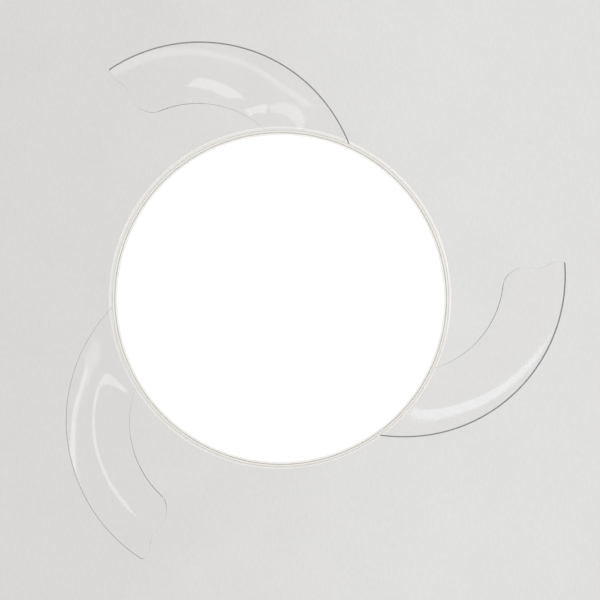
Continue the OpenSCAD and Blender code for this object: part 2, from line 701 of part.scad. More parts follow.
// Depth of the upper face: flat at the root, then a ridge with both edges drooping,
// the outer one less and less towards the tip
function face_depth(b, v) = gear_under + ease_curve((b - flat_b) / (twist_b - flat_b))
    * (v < ridge_v ? inner_drop * pow((ridge_v - v) / ridge_v, 1.5)
                   : outer_drop * pow((v - ridge_v) / (1 - ridge_v), 1.8)
                     * (1 - wash_out * ease_curve((b - flat_b) / (blade_sweep - flat_b))));
function blade_vertex(u, v, t) =
    let (b = root_angle(v) + u * (end_angle(v) - root_angle(v)), p = arc_point(blade_in_r + v * blade_w, b))
    [p[0], p[1], down(face_depth(b, v) + t)];
module blade_sheet() {
    m = width_steps + 1;
    n = (blade_steps + 1) * m;
    pts = [for (t = [0, blade_t], i = [0:blade_steps], j = [0:width_steps])
        blade_vertex(i / blade_steps, (1 - cos(180 * j / width_steps)) / 2, t)];
    rim = concat([for (j = [0:width_steps]) j], [for (i = [1:blade_steps]) i * m + width_steps],
                 [for (j = [width_steps - 1:-1:0]) blade_steps * m + j],
                 [for (i = [blade_steps - 1:-1:1]) i * m]);
    polyhedron(pts, concat(
        [for (i = [0:blade_steps - 1], j = [0:width_steps - 1]) let (a = i * m + j, c = n + a) each
            [[a, a + 1, a + m + 1], [a, a + m + 1, a + m], [c, c + m + 1, c + 1], [c, c + m, c + m + 1]]],
        [for (k = [0:len(rim) - 1]) let (a = rim[k], b = rim[(k + 1) % len(rim)]) each
            [[a, n + b, b], [a, n + a, n + b]]]));
}
module blade() {
    color("aliceblue", 0.4) difference() {
        blade_sheet();
        at_pad_screws() bore(screw_r + ease, gear_under - 1, gear_under + blade_t + 1);
    }
}
module blade_clamp() {
    top = gear_under + blade_t;
    color("silver") difference() {
        blade_pad(top, top + clamp_t, -1);
        at_pad_screws() bore(screw_r + ease, top - 1, top + clamp_t + 1);
    }
}
module blade_screws() {
    top = gear_under + blade_t + clamp_t;
    color("silver") at_pad_screws() screw(3.6, top, top + 2.4, screw_r - 0.15, gear_top + 2, top + eps);
}

// ---- Lamp ----
pan_top_r = lamp_d / 2 - 28;
pan_lip = lamp_d / 2 - 4;
glass_r = lamp_d / 2 - frame_w;                    // visible radius of the diffuser
glass_rim = glass_r + 2;
rim_t = 2;
rim_at = lamp_bottom - 8;                          // the rim lies between the tray's edge and the frame's lip
module pan_profile(inset) {
    q = 12 - inset;
    polygon(concat([[0, down(pan_top + inset)]],
        [for (i = [0:5]) let (a = 90 - i * 12)
            [pan_top_r - 12 + q * cos(a), down(pan_top + 12) + q * sin(a)]],
        [[pan_lip - inset, down(rim_at - 4)], [pan_lip - inset, down(rim_at) - (inset > 0 ? 1 : 0)],
         [0, down(rim_at) - (inset > 0 ? 1 : 0)]]));
}
module lamp_pan() {
    color("white") difference() {
        rotate_extrude() pan_profile(0);
        rotate_extrude() pan_profile(pan_wall);
        bore(shaft_r + ease, pan_top - 1, pan_top + 3);
        around(6, board_ring, 30) bore(1.5 + ease, pan_top - 1, pan_top + 3);
    }
}
module lamp_nut() {
    color("gray") hex_nut(pan_top + pan_wall, pan_top + pan_wall + 7, 3 * shaft_r);
}
module driver_box() {
    color("whitesmoke") translate([driver_x, -26, down(pan_top + pan_wall + 26)]) difference() {
        cube([104, 52, 26]);
        for (y = [-1, 49]) for (x = [12:10:92]) translate([x, y, 6]) cube([4, 4, 14]);
    }
}
board_top = lamp_bottom - 26;
board_t = 1.6;
board_r = lamp_d / 2 - 22;
board_ring = board_r - 45.5;
chip_pitch = 34;
module board_posts() {
    color("silver") around(6, board_ring, 30) difference() {
        bore(4, pan_top + pan_wall, board_top);
        bore(1.4, pan_top, pan_top + 8);
        bore(1.4, board_top - 8, board_top + 1);
    }
}
module led_board() {
    color("white") difference() {
        disc(board_r, board_top, board_top + board_t, 16);
        around(6, board_ring, 30) bore(1.5 + ease, board_top - 1, board_top + board_t + 1);
    }
}
module led_chips() {
    color("khaki") for (r = [board_r / 4, board_r / 2, board_r - 21.5])
        around(round(2 * PI * r / chip_pitch), r, 5)
            translate([-1.8, -1.8, down(board_top + board_t + 0.9)]) cube([3.6, 3.6, 0.9]);
}
module board_screws() {
    face = board_top + board_t;
    color("silver") around(6, board_ring, 30) {
        screw(2.8, face, face + 1.8, 1.3, board_top - 7, face + eps);
        screw(2.8, pan_top - 1.8, pan_top, 1.3, pan_top - eps, pan_top + 7);
    }
}
crown_r = (glass_r * glass_r + diffuser_crown * diffuser_crown) / (2 * diffuser_crown);
module crown_profile(inset, top) {
    steps = 16;
    reach = asin(glass_r / crown_r);
    r = crown_r - inset;
    polygon(concat([[0, down(top)], [glass_r - inset, down(top)]],
        [for (i = [0:steps]) let (a = reach * (1 - i / steps))
            [min(glass_r - inset, r * sin(a)), down(lamp_bottom + diffuser_crown - crown_r) - r * cos(a)]]));
}
sheet_top = lamp_bottom - diffuser_wall * cos(asin(glass_r / crown_r));
// The crowned sheet, and the ring bonded to its edge that the lamp frame holds
module diffuser() {
    color("white") difference() {
        rotate_extrude() crown_profile(0, sheet_top);
        rotate_extrude() crown_profile(diffuser_wall, rim_at - 1);
    }
}
module diffuser_ring() {
    color("white") union() {
        disc(glass_r, rim_at, sheet_top, glass_r - diffuser_wall);
        disc(glass_rim, rim_at, rim_at + rim_t, glass_r - diffuser_wall);
    }
}
module lamp_frame() {
    r = lamp_d / 2;
    inner = glass_r + thrust;
    edge = 1.4;                                    // flat edge outside the bead
    bead_r = (r - edge - inner) / 2 - 0.2;
    color("oldlace") rotate_extrude() difference() {
        union() {
            translate([pan_lip + seat, down(lamp_bottom - bead_r)]) square([r - pan_lip - seat, 14]);
            translate([inner, down(lamp_bottom - bead_r)]) square([r - 1 - inner, 6 - bead_r]);
            translate([(inner + r - edge) / 2, down(lamp_bottom - bead_r)]) circle(r = bead_r, $fn = 32);
        }
        translate([0, down(rim_at + rim_t)]) square([glass_rim + thrust, rim_t + thrust]);
    }
}

ceiling_bracket();
canopy();
canopy_screws();
terminal_block();
wiring_loom();
receiver_box();
hollow_shaft();
shaft_nuts();
upper_housing();
housing_screws();
bearing_inner_rings();
stator_core();
stator_windings();
stack_spacers();
rotor_shell();
rotor_cap();
rotor_magnets();
bearing_outer_rings();
bearing_balls();
carrier_plate();
carrier_screws();
ring_collar();
ring_keeper();
keeper_screws();
stop_pins();
pivot_pins();
pin_clips();
cover_plate();
cover_posts();
cover_screws();
return_springs();
sync_ring();
color("ivory") at_blade(1) blade_arm();  // blade_arm_1
color("ivory") at_blade(2) blade_arm();  // blade_arm_2
color("ivory") at_blade(3) blade_arm();  // blade_arm_3
at_blade(1) pivot_bush();  // pivot_bush_1
at_blade(2) pivot_bush();  // pivot_bush_2
at_blade(3) pivot_bush();  // pivot_bush_3
at_blade(1) blade();  // blade_1
at_blade(2) blade();  // blade_2
at_blade(3) blade();  // blade_3
at_blade(1) blade_clamp();  // blade_clamp_1
at_blade(2) blade_clamp();  // blade_clamp_2
at_blade(3) blade_clamp();  // blade_clamp_3
at_blade(1) blade_screws();  // blade_screws_1
at_blade(2) blade_screws();  // blade_screws_2
at_blade(3) blade_screws();  // blade_screws_3
lamp_pan();
lamp_nut();
driver_box();
board_posts();
led_board();
led_chips();
board_screws();
diffuser();
diffuser_ring();
lamp_frame();
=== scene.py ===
import json
import math
import bmesh
import bpy
from mathutils import Matrix, Vector

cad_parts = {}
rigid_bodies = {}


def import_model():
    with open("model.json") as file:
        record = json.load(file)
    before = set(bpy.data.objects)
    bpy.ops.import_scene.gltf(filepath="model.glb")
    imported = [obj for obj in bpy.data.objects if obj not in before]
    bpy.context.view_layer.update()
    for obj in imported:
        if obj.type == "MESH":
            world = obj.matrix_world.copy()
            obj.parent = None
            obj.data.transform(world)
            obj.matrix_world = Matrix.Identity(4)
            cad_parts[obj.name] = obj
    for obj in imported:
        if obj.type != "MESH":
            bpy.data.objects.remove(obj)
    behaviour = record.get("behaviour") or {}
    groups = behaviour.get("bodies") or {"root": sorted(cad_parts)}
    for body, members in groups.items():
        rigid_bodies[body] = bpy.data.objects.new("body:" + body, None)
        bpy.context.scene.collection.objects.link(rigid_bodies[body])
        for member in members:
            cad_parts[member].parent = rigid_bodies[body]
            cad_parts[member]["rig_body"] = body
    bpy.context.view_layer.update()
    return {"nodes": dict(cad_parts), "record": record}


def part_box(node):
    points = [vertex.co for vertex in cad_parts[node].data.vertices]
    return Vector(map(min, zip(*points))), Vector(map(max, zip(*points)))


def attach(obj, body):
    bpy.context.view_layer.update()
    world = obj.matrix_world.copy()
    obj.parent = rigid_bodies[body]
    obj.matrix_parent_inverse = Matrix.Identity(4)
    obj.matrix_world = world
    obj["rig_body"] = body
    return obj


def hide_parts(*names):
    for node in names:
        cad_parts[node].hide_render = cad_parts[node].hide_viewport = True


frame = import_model()
scene = bpy.context.scene
mm = 0.001
print("frame loaded:", len(frame["nodes"]), "nodes")


class Wire:  # a node's output, usable in Python sums
    def __init__(self, socket, board):
        self.socket = socket
        self.board = board

    def combine(self, operation, first, second):
        return self.board.node("ShaderNodeMath", {"operation": operation}, {0: first, 1: second})

    def __add__(self, other):
        return self.combine("ADD", self, other)

    def __rsub__(self, other):
        return self.combine("SUBTRACT", other, self)

    def __mul__(self, other):
        return self.combine("MULTIPLY", self, other)

    def between(self, low, high):  # 0 below low, 1 above high
        return self.board.node("ShaderNodeMapRange", {"interpolation_type": "SMOOTHSTEP"},
                               {"Value": self, "From Min": low, "From Max": high})

    __radd__ = __add__
    __rmul__ = __mul__


class Board:  # a node tree, with one method that adds any node
    def __init__(self, tree):
        self.tree = tree

    def plug(self, node, socketName, value):
        socket = node.inputs[socketName]
        if isinstance(value, Wire):
            self.tree.links.new(value.socket, socket)
        elif socket.type == "RGBA":
            socket.default_value = (*value, 1)
        else:
            socket.default_value = value

    def node(self, kind, settings=None, sockets=None, output=0):
        made = self.tree.nodes.new(kind)
        for key, value in (settings or {}).items():
            setattr(made, key, value)
        for key, value in (sockets or {}).items():
            self.plug(made, key, value)
        return Wire(made.outputs[output], self)

    def seenBy(self, *rays):  # 1 for these kinds of ray and 0 for all others
        seen = self.node("ShaderNodeLightPath", output=rays[0])
        for ray in rays[1:]:
            seen = seen.combine("MAXIMUM", seen, self.node("ShaderNodeLightPath", output=ray))
        return seen

    def mixed(self, share, first, second):  # shaders
        return self.node("ShaderNodeMixShader", None, {0: share, 1: first, 2: second})


class Finish(Board):  # one material
    def __init__(self, name, color, rough, **fixed):
        self.material = bpy.data.materials.new(name)
        self.material.use_nodes = True
        super().__init__(self.material.node_tree)
        self.shader = self.tree.nodes["Principled BSDF"]
        self.color = color
        self.plug(self.shader, "Base Color", color)
        self.plug(self.shader, "Roughness", rough)
        for socketName, value in fixed.items():
            self.plug(self.shader, socketName.replace("_", " "), value)
        self.place = self.node("ShaderNodeTexCoord", output="Object")

    def stretched(self, x, y, z):
        return self.node("ShaderNodeMapping", {"vector_type": "POINT"},
                         {"Vector": self.place, "Scale": (x, y, z)})

    def away(self):  # distance from the fan axis in metres
        return self.node("ShaderNodeVectorMath", {"operation": "LENGTH"}, {0: self.stretched(1, 1, 0)},
                         "Value")

    def noise(self, size, detail=3.0, vector=None):  # size of one patch in mm
        return self.node("ShaderNodeTexNoise", None,
                         {"Vector": vector or self.place, "Scale": 1000 / size, "Detail": detail})

    def cells(self, size, output="Distance"):  # size of one cell in mm
        return self.node("ShaderNodeTexVoronoi", None, {"Vector": self.place, "Scale": 1000 / size}, output)

    def waves(self, kind, direction, scale, distortion, detail=2.0):
        return self.node("ShaderNodeTexWave", {"wave_type": kind, kind.lower() + "_direction": direction},
                         {"Vector": self.place, "Scale": scale, "Distortion": distortion, "Detail": detail},
                         "Fac")

    def blend(self, share, first, second):  # colours
        return self.node("ShaderNodeMix", {"data_type": "RGBA"}, {0: share, 6: first, 7: second}, 2)

    def tint(self, share, amount):  # the base colour, darker by the amount or lighter by part of it
        lighterPart = 0.6
        darker = [c * (1 - amount) for c in self.color]
        lighter = [min(1, c * (1 + amount * lighterPart)) for c in self.color]
        self.plug(self.shader, "Base Color", self.blend(share, darker, lighter))

    def rough(self, share, low, high):
        self.plug(self.shader, "Roughness", share * (high - low) + low)

    def bump(self, height, depth):  # depth in mm
        raised = self.node("ShaderNodeBump", None, {"Height": height, "Distance": depth * mm})
        self.plug(self.shader, "Normal", raised)


def paint(name, color, rough=0.34, peel=0.004):
    # sprayed or moulded white: faint clouding, orange peel and a little handling wear in the gloss
    finish = Finish(name, color, rough, Coat_Weight=0.25, Coat_Roughness=0.2)
    finish.tint(finish.noise(160).between(0.35, 0.65), 0.012)
    finish.rough(finish.noise(60, 1).between(0.3, 0.75), rough - 0.03, rough + 0.04)
    finish.bump(finish.noise(9, 0), peel)
    return finish.material


def zinc(name, color, rough=0.36, spangle=7.0):
    # plated steel: faint crystals, small scuffs and a fine grain
    finish = Finish(name, color, rough, Metallic=1.0)
    crystal = finish.cells(spangle, "Color")
    scuff = finish.noise(5, 6, finish.stretched(1, 0.12, 1))
    finish.tint(crystal * 0.5 + finish.noise(60) * 0.5, 0.1)
    finish.rough(scuff.between(0.3, 0.8), rough - 0.08, rough + 0.12)
    finish.bump(scuff * 0.6 + finish.noise(0.8, 2) * 0.4, 0.012)
    return finish.material


def turned(name, color, rough=0.25):
    # turned or ground steel: rings round the fan axis
    finish = Finish(name, color, rough, Metallic=1.0)
    ring = finish.waves("RINGS", "Z", 700, 1.5, 3.0)
    finish.tint(finish.noise(9, 4), 0.07)
    finish.rough(ring, rough - 0.05, rough + 0.1)
    finish.bump(ring, 0.004)
    return finish.material


def nylon(name, color, rough=0.48):
    # glass-filled nylon: mottled, with a fine spark-eroded grain
    finish = Finish(name, color, rough, Subsurface_Weight=0.04, Subsurface_Scale=0.002)
    finish.tint(finish.noise(18, 5), 0.06)
    finish.rough(finish.noise(6), rough - 0.08, rough + 0.08)
    finish.bump(finish.noise(0.7) * 0.7 + finish.cells(1.1) * 0.3, 0.02)
    return finish.material


def castMetal(name, color, rough=0.5):
    # as it left the mould: blotchy, with a sandy skin
    finish = Finish(name, color, rough, Metallic=1.0)
    finish.tint(finish.noise(12, 6), 0.12)
    finish.rough(finish.noise(3, 4), rough - 0.1, rough + 0.12)
    finish.bump(finish.noise(1.4, 4) * 0.6 + finish.noise(9, 2) * 0.4, 0.06)
    return finish.material


def laminated(name, color):
    # stacked sheets seen on edge
    finish = Finish(name, color, 0.55, Metallic=0.7)
    sheets = finish.waves("BANDS", "Z", 320, 0.3)
    finish.tint(sheets * 0.7 + finish.noise(4) * 0.3, 0.3)
    finish.bump(sheets, 0.05)
    return finish.material


def wound(name, color):
    # enamelled wire laid side by side
    finish = Finish(name, color, 0.3, Metallic=0.85, Coat_Weight=0.6)
    turns = finish.waves("BANDS", "DIAGONAL", 260, 0.8, 1.0)
    finish.tint(turns, 0.35)
    finish.bump(turns, 0.18)
    return finish.material


def bronze(name, color):
    # sintered bush: open pores
    finish = Finish(name, color, 0.42, Metallic=1.0)
    pores = finish.cells(0.6).between(0.05, 0.3)
    finish.tint(pores * 0.7 + finish.noise(5, 4) * 0.3, 0.3)
    finish.bump(pores, 0.03)
    return finish.material


def rubber(name, color):
    # matt and a little dusty
    finish = Finish(name, color, 0.8)
    finish.tint(finish.noise(3, 4), 0.3)
    finish.bump(finish.noise(0.5), 0.03)
    return finish.material


def sleeve(name, color):
    # braid round the leads
    finish = Finish(name, color, 0.62)
    weave = finish.waves("BANDS", "DIAGONAL", 300, 2.0)
    finish.tint(weave, 0.4)
    finish.bump(weave, 0.12)
    return finish.material


def moulded(name, color, rough=0.4):
    # a box or block: fine etched grain, a few rubbed places
    finish = Finish(name, color, rough)
    finish.tint(finish.noise(30, 4), 0.04)
    finish.rough(finish.noise(14, 5).between(0.35, 0.7), rough - 0.1, rough + 0.1)
    finish.bump(finish.noise(0.9), 0.025)
    return finish.material


def circuitBoard(name, color):
    # white solder mask over copper tracks
    finish = Finish(name, color, 0.3, Coat_Weight=0.3)
    tracks = finish.cells(26).between(0.47, 0.5)
    finish.tint(1 - tracks * 0.6, 0.05)
    finish.bump(tracks * 0.5 + finish.noise(1.2, 2) * 0.1, 0.03)
    return finish.material


def phosphor(name, color):
    # lit chips, warmer where the coating is thick
    finish = Finish(name, color, 0.4, Emission_Strength=1.0)
    glow = finish.blend(finish.noise(1, 2), (1.0, 0.82, 0.4), (1.0, 0.9, 0.55))
    finish.plug(finish.shader, "Emission Color", glow)
    finish.tint(finish.noise(0.8), 0.1)
    return finish.material


# where the lit sheet's glow fades and where painted shade darkens the sheet's rim and the grooves beside
# the frame's bead, in metres from the axis
lampLook = {"lit": (1.0, 1.0, 0.995), "unlit": (0, 0, 0), "glowEnds": (0.2380, 0.2432),
            "shadedRimTone": (0.84, 0.82, 0.795), "rimShadeStarts": (0.2408, 0.2440),
            "grooveShadeTone": (0.80, 0.77, 0.73), "innerGrooveEnds": (0.2456, 0.2468),
            "outerGrooveStarts": (0.2498, 0.2506), "outerGrooveShare": 0.6}


def opal(name, color):
    # lit opal acrylic: even white glow, falling off in the last few millimetres by the frame, where the
    # base colour is darkened as painted shade from the bead
    finish = Finish(name, color, 0.28, Emission_Strength=1.0)
    edge = finish.away().between(*lampLook["glowEnds"])
    finish.plug(finish.shader, "Emission Color", finish.blend(edge, lampLook["lit"], lampLook["unlit"]))
    # painted shade: the sheet's base colour darkens towards its rim, where the bead shades it
    rim = finish.away().between(*lampLook["rimShadeStarts"])
    finish.plug(finish.shader, "Base Color", finish.blend(rim, color, lampLook["shadedRimTone"]))
    finish.rough(finish.noise(90), 0.25, 0.31)
    finish.bump(finish.noise(1.6, 2), 0.01)
    return finish.material


def pearl(name, color):
    # satin bead of the lamp frame, with painted shade in the groove on each side of it, a beige line
    finish = Finish(name, color, 0.3, Coat_Weight=0.2)
    away = finish.away()
    # painted shade: beige lines in the grooves on both sides of the bead
    outer = away.between(*lampLook["outerGrooveStarts"]) * lampLook["outerGrooveShare"]
    grooveShade = 1 - away.between(*lampLook["innerGrooveEnds"]) * (1 - outer)
    finish.plug(finish.shader, "Base Color", finish.blend(grooveShade, color, lampLook["grooveShadeTone"]))
    finish.rough(finish.noise(20, 4), 0.24, 0.38)
    finish.bump(finish.noise(2.0, 2), 0.01)
    return finish.material


def clearSheet(name, color, rough, through=1.0, bend=1.49, alpha=1.0):
    # acrylic: faint smears in the gloss and a slow waviness from forming
    finish = Finish(name, color, rough, IOR=bend, Transmission_Weight=through, Alpha=alpha)
    smear = finish.noise(60, 4).between(0.5, 0.8)
    finish.plug(finish.shader, "Roughness", smear * 0.03 + rough)
    finish.tint(finish.noise(120), 0.01)
    finish.bump(finish.noise(45, 1), 0.02)
    return finish.material


finishes = {
    "white_enamel": paint("whiteEnamel", (0.88, 0.875, 0.86)),
    "white_abs": paint("whiteAbs", (0.86, 0.85, 0.83), 0.3, 0.0025),
    "frame_pearl": pearl("framePearl", (0.80, 0.775, 0.74)),
    "opal_acrylic": opal("opalAcrylic", (0.92, 0.92, 0.91)),
    "clear_acrylic": clearSheet("clearAcrylic", (0.995, 0.99, 0.99), 0.05),
    "zinc_steel": zinc("zincSteel", (0.60, 0.61, 0.62)),
    "fastener_steel": zinc("fastenerSteel", (0.55, 0.55, 0.56), 0.3, 3.0),
    "bearing_steel": turned("bearingSteel", (0.65, 0.65, 0.67), 0.15),
    "lamination": laminated("lamination", (0.16, 0.165, 0.18)),
    "copper_wire": wound("copperWire", (0.62, 0.26, 0.11)),
    "cast_aluminium": castMetal("castAluminium", (0.62, 0.63, 0.64)),
    "magnet": castMetal("magnet", (0.14, 0.14, 0.16), 0.45),
    "spring_wire": zinc("springWire", (0.40, 0.40, 0.42), 0.28, 2.0),
    "stop_rubber": rubber("stopRubber", (0.02, 0.02, 0.02)),
    "grey_nylon": nylon("greyNylon", (0.10, 0.105, 0.115)),
    "white_nylon": nylon("whiteNylon", (0.78, 0.76, 0.70)),
    "bronze": bronze("bronze", (0.45, 0.28, 0.11)),
    "clamp_steel": zinc("clampSteel", (0.66, 0.67, 0.68), 0.24, 4.0),
    "terminal_plastic": moulded("terminalPlastic", (0.74, 0.70, 0.58), 0.32),
    "box_plastic": moulded("boxPlastic", (0.75, 0.75, 0.73)),
    "cable_sleeve": sleeve("cableSleeve", (0.03, 0.03, 0.035)),
    "board_white": circuitBoard("boardWhite", (0.86, 0.86, 0.85)),
    "led_phosphor": phosphor("ledPhosphor", (0.85, 0.66, 0.18)),
}
# the cut edges of a blade: outer rim painted dark and end painted grey, as a painted dark reflection in the
# edge, and an inner edge that hardly shows
acrylicEdgePaintedDark = clearSheet("acrylicEdgePaintedDark", (0.24, 0.245, 0.26), 0.12, 0.1)
acrylicEndPaintedGrey = clearSheet("acrylicEndPaintedGrey", (0.62, 0.62, 0.63), 0.06, 0.8)
acrylicInner = clearSheet("acrylicInner", (0.99, 0.99, 0.99), 0.05, 1.0, 1.1, 0.12)
slotOf = {part["node"]: part["material_slot"] for part in frame["record"]["subparts"]}
for nodeName, node in frame["nodes"].items():
    node.data.materials.clear()
    node.data.materials.append(finishes[slotOf[nodeName]])
print("finishes made:", len(finishes))


# lengths in mm, angles in degrees, and counts of steps or sides
meshing = {"weld": 0.002, "copyWeld": 0.001, "flatAngle": 0.4, "sharpAngle": 38, "turnSteps": 192,
           "lampSteps": 256, "bigRound": 8, "bigSteps": 16, "smallSteps": 6, "easeSteps": 2, "manySides": 8}


def addPiece(name, bm, body, replaced, creaseAngle=meshing["sharpAngle"], extra=()):
    mesh = bpy.data.meshes.new(name)
    bm.to_mesh(mesh)
    bm.free()
    mesh.shade_smooth()
    mesh.set_sharp_from_angle(angle=math.radians(creaseAngle))
    piece = bpy.data.objects.new(name, mesh)
    scene.collection.objects.link(piece)
    slotName = slotOf[replaced[0]]
    for material in (finishes[slotName], *extra):
        mesh.materials.append(material)
    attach(piece, body)
    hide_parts(*replaced)
    return piece


def closeShell(bm):
    bmesh.ops.remove_doubles(bm, verts=bm.verts, dist=meshing["weld"] * mm)
    bmesh.ops.recalc_face_normals(bm, faces=bm.faces)


def roundTurned(corners, steps=meshing["turnSteps"]):
    # a closed section of (radius, depth, rounding) corners in mm, turned about the fan axis
    bm = bmesh.new()
    points = [bm.verts.new((radius * mm, 0, -depth * mm)) for radius, depth, rounding in corners]
    bm.faces.new(points)
    for point, (radius, depth, rounding) in zip(points, corners):
        segments = meshing["bigSteps"] if rounding > meshing["bigRound"] else meshing["smallSteps"]
        if rounding:
            bmesh.ops.bevel(bm, geom=[point], offset=rounding * mm, offset_type="OFFSET", affect="VERTICES",
                            segments=segments, profile=0.5, material=-1, clamp_overlap=True)
    bmesh.ops.delete(bm, geom=bm.faces[:], context="FACES_ONLY")
    bmesh.ops.spin(bm, geom=bm.verts[:] + bm.edges[:], cent=(0, 0, 0), axis=(0, 0, 1), dvec=(0, 0, 0),
                   angle=2 * math.pi, steps=steps, use_merge=True)
    closeShell(bm)
    return bm


def easedCopy(nodeName, width):
    # a copy of a CAD solid with its sharp edges broken
    bm = bmesh.new()
    bm.from_mesh(frame["nodes"][nodeName].data)
    bmesh.ops.remove_doubles(bm, verts=bm.verts, dist=meshing["copyWeld"] * mm)
    bmesh.ops.dissolve_limit(bm, angle_limit=math.radians(meshing["flatAngle"]), verts=bm.verts,
                             edges=bm.edges, use_dissolve_boundaries=False)
    sharp = [edge for edge in bm.edges
             if edge.is_manifold and edge.calc_face_angle(0) > math.radians(meshing["sharpAngle"])]
    bmesh.ops.bevel(bm, geom=sharp, offset=width * mm, offset_type="OFFSET", affect="EDGES",
                    segments=meshing["easeSteps"], profile=0.5, material=-1, clamp_overlap=True,
                    loop_slide=True)
    # a toothed face fills badly as one polygon
    manySided = [face for face in bm.faces if len(face.verts) > meshing["manySides"]]
    bmesh.ops.triangulate(bm, faces=manySided, quad_method="BEAUTY", ngon_method="BEAUTY")
    addPiece(nodeName + "_eased", bm, frame["nodes"][nodeName]["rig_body"], (nodeName,))


def turnedSizes(nodeName):  # depths of underside and top below the ceiling, and the radius, in mm
    low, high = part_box(nodeName)
    return -low[2] / mm, -high[2] / mm, high[0] / mm


housing = {"bore": 10.15, "dishRadius": 54, "dishDepth": 5, "dishSlope": 6, "crownRadius": 120,
           "crownDip": 1, "crownRound": 30, "crownFall": 9.5, "shoulder": 33, "lip": 8, "lipDepth": 4,
           "lipRound": 3.5, "wall": 2.5}
rim, top, radius = turnedSizes("upper_housing")
wall, bore, shoulderRound = housing["wall"], housing["bore"], housing["shoulder"]
dishRadius, dishFloor = housing["dishRadius"], top + housing["dishDepth"]
crownRadius, crownTop = housing["crownRadius"], top + housing["crownDip"]
shoulder = top + housing["crownFall"]
lipInside, lipBack = radius - housing["lip"], rim - housing["lipDepth"]
outerSkin = [
    (bore, dishFloor, 0), (dishRadius, dishFloor, 2), (dishRadius + housing["dishSlope"], top, 3),
    (crownRadius, crownTop, housing["crownRound"]), (radius, shoulder, shoulderRound),
    (radius, rim, housing["lipRound"]), (lipInside, rim, 1)]
innerSkin = [
    (lipInside, lipBack, 0.9), (radius - wall, lipBack, 0.8),
    (radius - wall, shoulder + wall, shoulderRound - wall), (crownRadius, crownTop + wall, 0),
    (dishRadius + housing["dishSlope"] - 2, top + wall, 1), (dishRadius - 2, dishFloor + wall, 1),
    (bore, dishFloor + wall, 0)]
addPiece("housingShell", roundTurned(outerSkin + innerSkin), "fixed_body", ("upper_housing",))

canopy = {"rounding": 10, "wall": 1.5, "hole": 22, "edge": 0.5}
bottom, top, radius = turnedSizes("canopy")
wall, hole, edge = canopy["wall"], canopy["hole"], canopy["edge"]
addPiece("canopyCup", roundTurned([
    (hole, bottom, edge), (radius, bottom, canopy["rounding"]), (radius, top, edge),
    (radius - wall, top, edge), (radius - wall, bottom - wall, canopy["rounding"] - wall),
    (hole, bottom - wall, edge)]), "fixed_body", ("canopy",))

lampTray = {"hole": 10.15, "outerFlat": 221.5, "innerFlat": 220.5, "outerRound": 7.2, "innerRound": 6,
            "wall": 1.5, "straight": 4, "edge": 0.5}
bottom, top, radius = turnedSizes("lamp_pan")
wall, hole, edge = lampTray["wall"], lampTray["hole"], lampTray["edge"]
flare = bottom - lampTray["straight"]
addPiece("lampTray", roundTurned([
    (hole, top, 0), (lampTray["outerFlat"], top, lampTray["outerRound"]), (radius, flare, 1.5),
    (radius, bottom, edge), (radius - wall, bottom, edge), (radius - wall, flare, 1),
    (lampTray["innerFlat"], top + wall, lampTray["innerRound"]), (hole, top + wall, 0)]),
    "fixed_body", ("lamp_pan",))

lampFrame = {"bead": 1.7, "beadAt": 248.2, "fullRound": 0.99, "grooveMouth": 0.45, "grooveWidth": 0.3,
             "grooveDepth": 0.7, "inner": 246.3, "rimSeat": 248.3, "body": 247.52, "seatUp": 6,
             "innerTopUp": 8.3}
bottom, top, radius = turnedSizes("lamp_frame")
bead = lampFrame["bead"]
beadIn, beadOut = lampFrame["beadAt"] - bead, lampFrame["beadAt"] + bead
beadRound = bead * lampFrame["fullRound"]  # a hair under the full half round, which would close on itself
level = bottom - bead
groove = level - lampFrame["grooveDepth"]
seat, innerTop = bottom - lampFrame["seatUp"], bottom - lampFrame["innerTopUp"]
addPiece("lampFrame", roundTurned([
    (lampFrame["body"], top, 0.3), (radius, top, 0.5), (radius, level, 0.45),
    (beadOut + lampFrame["grooveMouth"], level, 0.15), (beadOut + lampFrame["grooveWidth"], groove, 0),
    (beadOut, groove, 0), (beadOut, bottom, beadRound), (beadIn, bottom, beadRound), (beadIn, groove, 0),
    (lampFrame["inner"], groove, 0), (lampFrame["inner"], seat, 0), (lampFrame["rimSeat"], seat, 0),
    (lampFrame["rimSeat"], innerTop, 0), (lampFrame["body"], innerTop, 0)], meshing["lampSteps"]),
    "fixed_body", ("lamp_frame",))

diffuser = {"glass": 246, "rim": 248, "wall": 2, "crown": 7, "rimUnder": 13, "rimTop": 15, "arcSteps": 14,
            "edgeRound": 0.7, "rimRound": 0.2}
lowest = turnedSizes("diffuser")[0]
glass, crown = diffuser["glass"], diffuser["crown"]
sphere = (glass ** 2 + crown ** 2) / (2 * crown)  # radius of the crowned face


def crownArc(inset):  # from the axis to the edge of the sheet
    reach = math.asin((glass - inset) / (sphere - inset))
    angles = [reach * step / diffuser["arcSteps"] for step in range(diffuser["arcSteps"] + 1)]
    return [((sphere - inset) * math.sin(a), lowest - sphere + (sphere - inset) * math.cos(a), 0)
            for a in angles]


rimUnder, rimTop = lowest - diffuser["rimUnder"], lowest - diffuser["rimTop"]
glassEdge = [
    (glass, lowest - crown, diffuser["edgeRound"]), (glass, rimUnder, 0),
    (diffuser["rim"], rimUnder, diffuser["rimRound"]), (diffuser["rim"], rimTop, diffuser["rimRound"]),
    (glass - diffuser["wall"], rimTop, 0)]
glassSection = crownArc(0)[:-1] + glassEdge + crownArc(diffuser["wall"])[::-1]
addPiece("opalDiffuser", roundTurned(glassSection, meshing["lampSteps"]),
         "fixed_body", ("diffuser", "diffuser_ring"))
print("housing, canopy, tray and lamp made")

